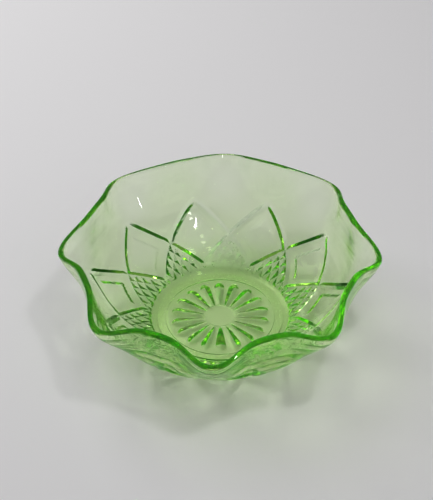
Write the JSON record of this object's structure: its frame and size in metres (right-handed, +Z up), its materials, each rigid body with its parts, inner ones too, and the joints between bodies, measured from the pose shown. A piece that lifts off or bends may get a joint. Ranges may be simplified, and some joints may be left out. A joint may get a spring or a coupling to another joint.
{
  "type": "pressed glass dish",
  "caption": "Round open dish of pressed green glass with a foot ring, a rayed base and a crimped, scalloped rim.",
  "frame": {"origin": "on the dish's axis, in the plane that the foot ring stands on", "axes": "+Z up along the dish's axis; a scallop of the rim lies on each of +X, -X, +Y and -Y"},
  "size_m": [0.2064, 0.2064, 0.067],
  "materials": {
    "uranium_glass": "fire-polished transparent yellow-green glass"
  },
  "bodies": {
    "root": {"dish": "uranium_glass"}
  },
  "joints": []
}
